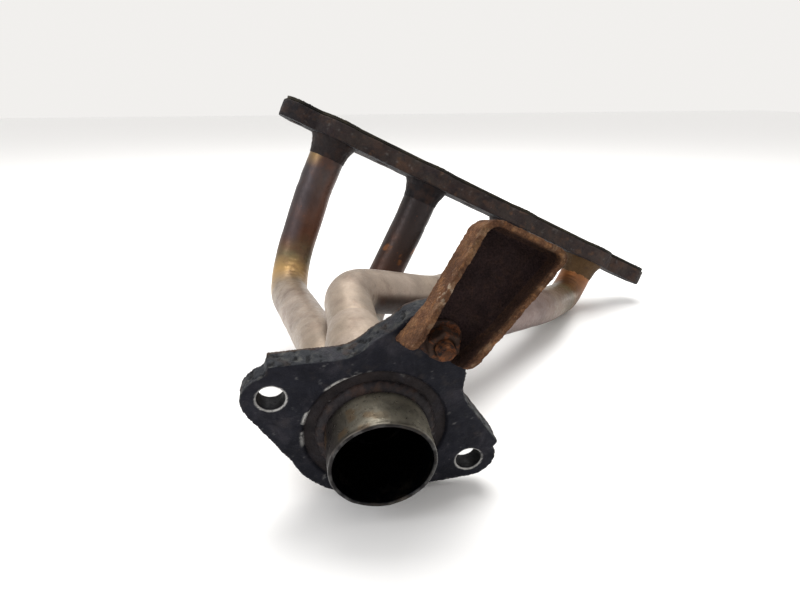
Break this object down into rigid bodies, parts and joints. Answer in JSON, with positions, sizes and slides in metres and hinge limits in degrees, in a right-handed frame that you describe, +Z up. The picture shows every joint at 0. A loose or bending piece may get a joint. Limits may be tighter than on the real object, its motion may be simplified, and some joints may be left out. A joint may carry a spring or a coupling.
{
  "type": "exhaust manifold",
  "caption": "Tubular exhaust manifold: long head flange, bent runners, collector, outlet flange with pipe stub and a stay bracket.",
  "frame": {"origin": "on the bench under the middle of the bounding box, with the manifold lying as it rests by itself", "axes": "+Z up from the bench, +X level along the head flange towards its last port, -Y towards the outlet"},
  "size_m": [0.3608, 0.2882, 0.1777],
  "materials": {
    "flange_iron": "scaled, dark brown-grey",
    "gasket_steel": "oxidised, olive-black",
    "runner_steel": "heat-tinted, matt",
    "weld_steel": "rough bead",
    "collector_steel": "warm grey-tan, matt",
    "outlet_iron": "sooty blue-black",
    "pipe_steel": "olive-grey, worn bright at the rim",
    "rusty_steel": "granular orange-brown rust"
  },
  "bodies": {
    "root": {"head_gasket": "gasket_steel", "head_flange": "flange_iron", "runner_1": "runner_steel", "runner_2": "runner_steel", "runner_3": "runner_steel", "runner_4": "runner_steel", "port_weld_1": "weld_steel", "port_weld_2": "weld_steel", "port_weld_3": "weld_steel", "port_weld_4": "weld_steel", "collector": "collector_steel", "merge_weld": "weld_steel", "collector_weld": "weld_steel", "outlet_flange": "outlet_iron", "outlet_pipe": "pipe_steel", "outlet_weld": "weld_steel", "stay_bracket": "rusty_steel", "stay_stud": "rusty_steel", "stay_washer": "rusty_steel", "stay_nut": "rusty_steel"}
  },
  "joints": []
}
